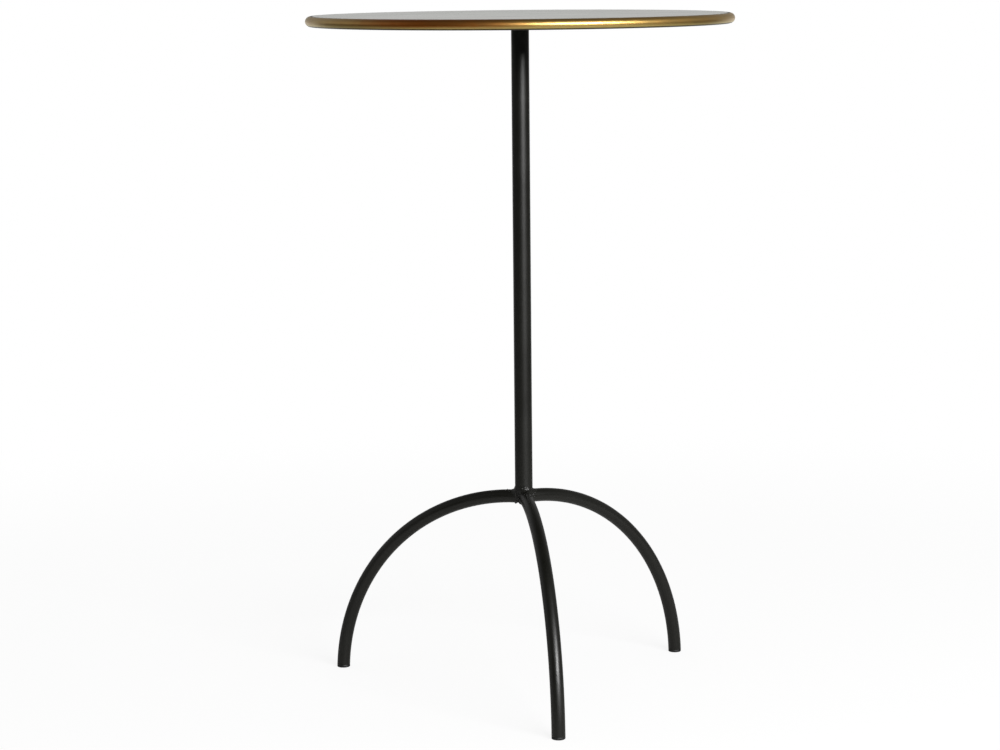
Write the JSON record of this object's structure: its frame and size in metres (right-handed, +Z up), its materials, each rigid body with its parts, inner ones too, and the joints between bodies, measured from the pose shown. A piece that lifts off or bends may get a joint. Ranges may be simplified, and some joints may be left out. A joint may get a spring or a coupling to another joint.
{
  "type": "side table",
  "caption": "Round side table: grey inlaid top with a half-round brass band, on a slim black upright tube welded to bent rod legs.",
  "frame": {"origin": "on the floor, under the middle of the stem", "axes": "+Z up along the stem; -Y towards the front leg, +X to the right of a person facing that leg"},
  "size_m": [0.3799, 0.38, 0.61],
  "materials": {
    "inlay_glass": "grey back-painted glass, satin face",
    "rim_brass": "aged brass, hand polished along the band",
    "base_black": "black powder coat over steel, satin",
    "board_black": "fibreboard sprayed matt black",
    "fixing_zinc": "zinc plated",
    "glide_plastic": "moulded black plastic"
  },
  "bodies": {
    "root": {"top_inlay": "inlay_glass", "top_board": "board_black", "rim_band": "rim_brass", "mount_plate": "base_black", "plate_screws": "fixing_zinc", "plate_stud": "fixing_zinc", "stem_bush": "fixing_zinc", "stem_tube": "base_black", "stem_plug": "glide_plastic", "leg_front": "base_black", "leg_right": "base_black", "leg_left": "base_black", "weld_front": "base_black", "weld_right": "base_black", "weld_left": "base_black", "glide_front": "glide_plastic", "glide_right": "glide_plastic", "glide_left": "glide_plastic"}
  },
  "joints": []
}
